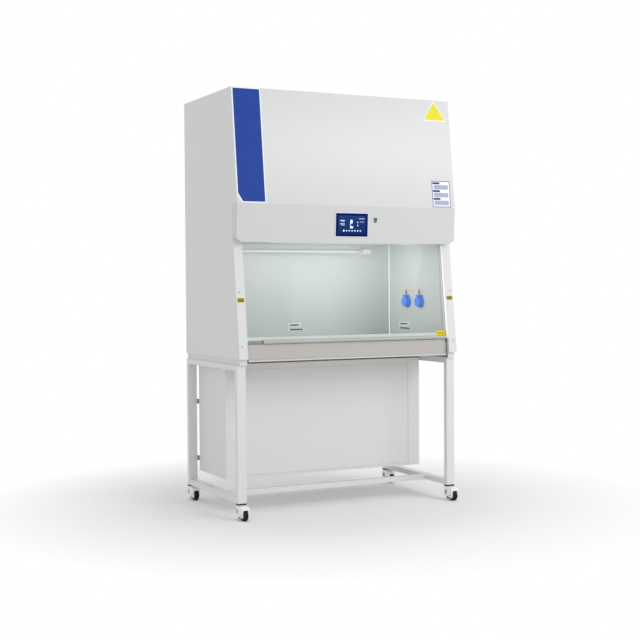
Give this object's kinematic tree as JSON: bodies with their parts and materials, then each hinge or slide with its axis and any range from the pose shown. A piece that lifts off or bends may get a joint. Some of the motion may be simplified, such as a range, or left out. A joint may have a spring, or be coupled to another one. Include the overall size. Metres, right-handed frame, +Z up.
{
  "type": "biosafety cabinet",
  "caption": "Floor-standing class II biosafety cabinet: sloped sliding sash, stainless work chamber, hooded blower section, castered tube stand.",
  "frame": {"origin": "middle of the footprint at floor level", "axes": "+Z up; -Y towards the operator, where the sash is; +X to the operator's right"},
  "size_m": [1.344, 0.812, 2.28],
  "materials": {
    "painted_white": "light grey-white powder coat, fine orange peel",
    "painted_frame": "pale grey powder coat",
    "stainless": "brushed stainless sheet",
    "galvanised": "zinc-coated sheet",
    "guide_aluminium": "anodised satin",
    "dark_steel": "dark grey paint",
    "bright_steel": "turned steel",
    "safety_glass": "laminated safety glass, faint green tint",
    "belt_rubber": "black toothed-belt rubber",
    "filter_frame": "folded frame with white pleated media",
    "impeller_metal": "dark coated steel",
    "lamp_glass": "frosted lamp glass",
    "lamp_plastic": "white moulded plastic",
    "black_plastic": "black moulded plastic",
    "button_plastic": "green translucent cap",
    "blue_plastic": "bright blue moulded plastic",
    "caster_plastic": "white moulded housing",
    "wheel_tread": "black nylon-cored tread"
  },
  "bodies": {
    "cabinet": {"armrest": "stainless", "back_panel": "painted_white", "base_pan": "stainless", "blower_housing": "galvanised", "blower_motor": "dark_steel", "box_brackets": "dark_steel", "box_cover": "painted_frame", "caster_pads": "black_plastic", "chamber_liner": "stainless", "column_left": "painted_white", "column_right": "painted_white", "control_panel": "painted_white", "diffuser": "stainless", "drive_bearings": "dark_steel", "exhaust_filter": "filter_frame", "fascia": "stainless", "front_grille": "stainless", "hood_light": "lamp_plastic", "plenum_box": "galvanised", "plinth_rails": "painted_white", "power_inlet": "black_plastic", "sash_belts": "belt_rubber", "sash_guides": "guide_aluminium", "side_panel_left": "painted_white", "side_panel_right": "painted_white", "socket_front": "blue_plastic", "socket_rear": "blue_plastic", "stand_cross_rails": "painted_frame", "stand_frame_left": "painted_frame", "stand_frame_right": "painted_frame", "storage_box": "painted_frame", "supply_filter": "filter_frame", "top_panel": "painted_white", "touchscreen": "black_plastic", "upper_front_cover": "painted_white", "uv_lamp_holders": "lamp_plastic", "uv_lamp_tube": "lamp_glass", "work_surface": "stainless"},
    "sash": {"sash_glass": "safety_glass", "sash_edge_rail": "guide_aluminium", "sash_hangers": "bright_steel"},
    "drive_shaft": {"sash_drive_shaft": "bright_steel"},
    "idlers": {"sash_idlers": "bright_steel"},
    "impeller": {"impeller": "impeller_metal"},
    "power_button": {"power_button": "button_plastic"},
    "lid_front": {"socket_lid_front": "blue_plastic"},
    "lid_rear": {"socket_lid_rear": "blue_plastic"},
    "caster_front_left": {"caster_housing_front_left": "caster_plastic"},
    "wheel_front_left": {"caster_wheel_front_left": "wheel_tread"},
    "foot_front_left": {"levelling_foot_front_left": "black_plastic"},
    "caster_front_right": {"caster_housing_front_right": "caster_plastic"},
    "wheel_front_right": {"caster_wheel_front_right": "wheel_tread"},
    "foot_front_right": {"levelling_foot_front_right": "black_plastic"},
    "caster_rear_left": {"caster_housing_rear_left": "caster_plastic"},
    "wheel_rear_left": {"caster_wheel_rear_left": "wheel_tread"},
    "foot_rear_left": {"levelling_foot_rear_left": "black_plastic"},
    "caster_rear_right": {"caster_housing_rear_right": "caster_plastic"},
    "wheel_rear_right": {"caster_wheel_rear_right": "wheel_tread"},
    "foot_rear_right": {"levelling_foot_rear_right": "black_plastic"}
  },
  "joints": [
    {"name": "sash_slide", "type": "slide", "parent": "cabinet", "child": "sash", "axis": [0, 0.1219, 0.9925], "range_m": [0, 0.46]},
    {"name": "drive_shaft_turn", "type": "hinge", "parent": "cabinet", "child": "drive_shaft", "pos_m": [0, -0.18006, 2.02379], "axis": [1, 0, 0], "range_deg": [-1500, 20]},
    {"name": "idler_turn", "type": "hinge", "parent": "cabinet", "child": "idlers", "pos_m": [0, -0.24404, 1.50271], "axis": [1, 0, 0], "range_deg": [-1500, 20]},
    {"name": "impeller_spin", "type": "hinge", "parent": "cabinet", "child": "impeller", "pos_m": [0, 0.19, 1.88], "axis": [0, 1, 0], "continuous": true},
    {"name": "power_button_press", "type": "slide", "parent": "cabinet", "child": "power_button", "axis": [0, 0.998, 0.0639], "range_m": [0, 0.002], "stiffness_N_per_m": 900, "springref_m": -0.001},
    {"name": "socket_lid_front_flip", "type": "hinge", "parent": "cabinet", "child": "lid_front", "pos_m": [0.5976, -0.077, 1.1705], "axis": [0, 1, 0], "range_deg": [0, 110], "stiffness_Nm_per_rad": 0.04, "springref_deg": -14.32},
    {"name": "socket_lid_rear_flip", "type": "hinge", "parent": "cabinet", "child": "lid_rear", "pos_m": [0.5976, 0.073, 1.1705], "axis": [0, 1, 0], "range_deg": [0, 110], "stiffness_Nm_per_rad": 0.04, "springref_deg": -14.32},
    {"name": "caster_front_left_swivel", "type": "hinge", "parent": "cabinet", "child": "caster_front_left", "pos_m": [-0.647, -0.336, 0.079], "axis": [0, 0, 1], "continuous": true},
    {"name": "wheel_front_left_roll", "type": "hinge", "parent": "caster_front_left", "child": "wheel_front_left", "pos_m": [-0.647, -0.376, 0.03], "axis": [1, 0, 0], "continuous": true},
    {"name": "foot_front_left_screw", "type": "slide", "parent": "caster_front_left", "child": "foot_front_left", "axis": [0, 0, -1], "range_m": [0, 0.008]},
    {"name": "caster_front_right_swivel", "type": "hinge", "parent": "cabinet", "child": "caster_front_right", "pos_m": [0.647, -0.336, 0.079], "axis": [0, 0, 1], "continuous": true},
    {"name": "wheel_front_right_roll", "type": "hinge", "parent": "caster_front_right", "child": "wheel_front_right", "pos_m": [0.647, -0.376, 0.03], "axis": [1, 0, 0], "continuous": true},
    {"name": "foot_front_right_screw", "type": "slide", "parent": "caster_front_right", "child": "foot_front_right", "axis": [0, 0, -1], "range_m": [0, 0.008]},
    {"name": "caster_rear_left_swivel", "type": "hinge", "parent": "cabinet", "child": "caster_rear_left", "pos_m": [-0.647, 0.383, 0.079], "axis": [0, 0, 1], "continuous": true},
    {"name": "wheel_rear_left_roll", "type": "hinge", "parent": "caster_rear_left", "child": "wheel_rear_left", "pos_m": [-0.647, 0.343, 0.03], "axis": [1, 0, 0], "continuous": true},
    {"name": "foot_rear_left_screw", "type": "slide", "parent": "caster_rear_left", "child": "foot_rear_left", "axis": [0, 0, -1], "range_m": [0, 0.008]},
    {"name": "caster_rear_right_swivel", "type": "hinge", "parent": "cabinet", "child": "caster_rear_right", "pos_m": [0.647, 0.383, 0.079], "axis": [0, 0, 1], "continuous": true},
    {"name": "wheel_rear_right_roll", "type": "hinge", "parent": "caster_rear_right", "child": "wheel_rear_right", "pos_m": [0.647, 0.343, 0.03], "axis": [1, 0, 0], "continuous": true},
    {"name": "foot_rear_right_screw", "type": "slide", "parent": "caster_rear_right", "child": "foot_rear_right", "axis": [0, 0, -1], "range_m": [0, 0.008]}
  ],
  "couplings": [
    {"joint": "drive_shaft_turn", "follows": "sash_slide", "rad_per_m": -55.096},
    {"joint": "idler_turn", "follows": "sash_slide", "rad_per_m": -55.096}
  ]
}
